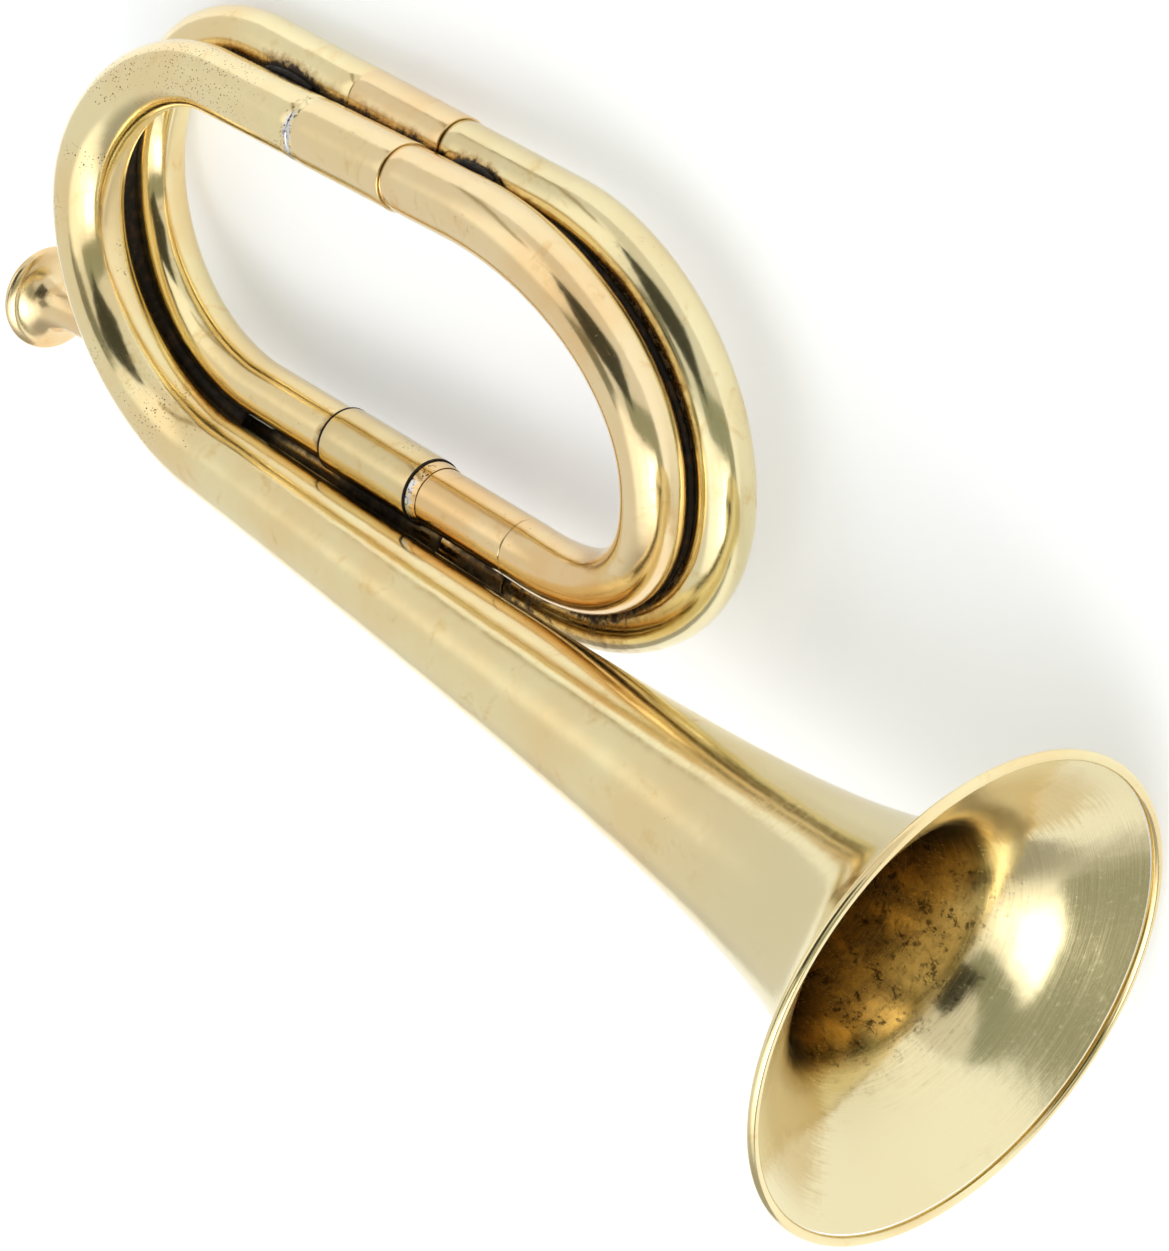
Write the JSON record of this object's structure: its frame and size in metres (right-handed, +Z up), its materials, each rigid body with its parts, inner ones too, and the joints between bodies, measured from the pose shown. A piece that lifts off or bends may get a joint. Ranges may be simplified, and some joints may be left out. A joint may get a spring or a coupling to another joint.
{
  "type": "brass bugle",
  "caption": "Small natural brass bugle with two side-by-side coils, ferruled joints, a flared bell with a rolled rim and a cup mouthpiece that pulls out",
  "frame": {"origin": "middle of the base of the instrument as it lies on its back coil, bell rim and mouthpiece rim; metres", "axes": "+X along the table towards the bell's mouth, +Y across the coils away from the bell, +Z up"},
  "size_m": [0.2802, 0.1192, 0.0812],
  "materials": {
    "polished_brass": "polished, lightly scratched and tarnished",
    "warm_brass": "polished, a little redder",
    "silver_solder": "dull grey solder"
  },
  "bodies": {
    "bugle": {"bell_rim_bead": "polished_brass", "bell_flare": "polished_brass", "bell_stem": "polished_brass", "front_left_bow": "polished_brass", "front_top_ferrule": "warm_brass", "front_right_bow": "warm_brass", "bottom_tube": "warm_brass", "bottom_ferrule": "warm_brass", "rear_left_bow": "warm_brass", "rear_top_ferrule": "warm_brass", "rear_right_bow": "polished_brass", "leadpipe_ferrule": "polished_brass", "leadpipe": "polished_brass", "mouthpiece_receiver": "polished_brass", "front_top_solder_ring": "silver_solder", "bottom_solder_ring": "silver_solder", "solder_top_left": "silver_solder", "solder_top_right": "silver_solder", "solder_bottom_leadpipe": "silver_solder", "solder_bell_leadpipe": "silver_solder"},
    "mouthpiece": {"mouthpiece": "warm_brass"}
  },
  "joints": [
    {"name": "mouthpiece_pull", "type": "slide", "parent": "bugle", "child": "mouthpiece", "axis": [-0.9996, -0.0164, -0.0229], "range_m": [0, 0.04]}
  ]
}
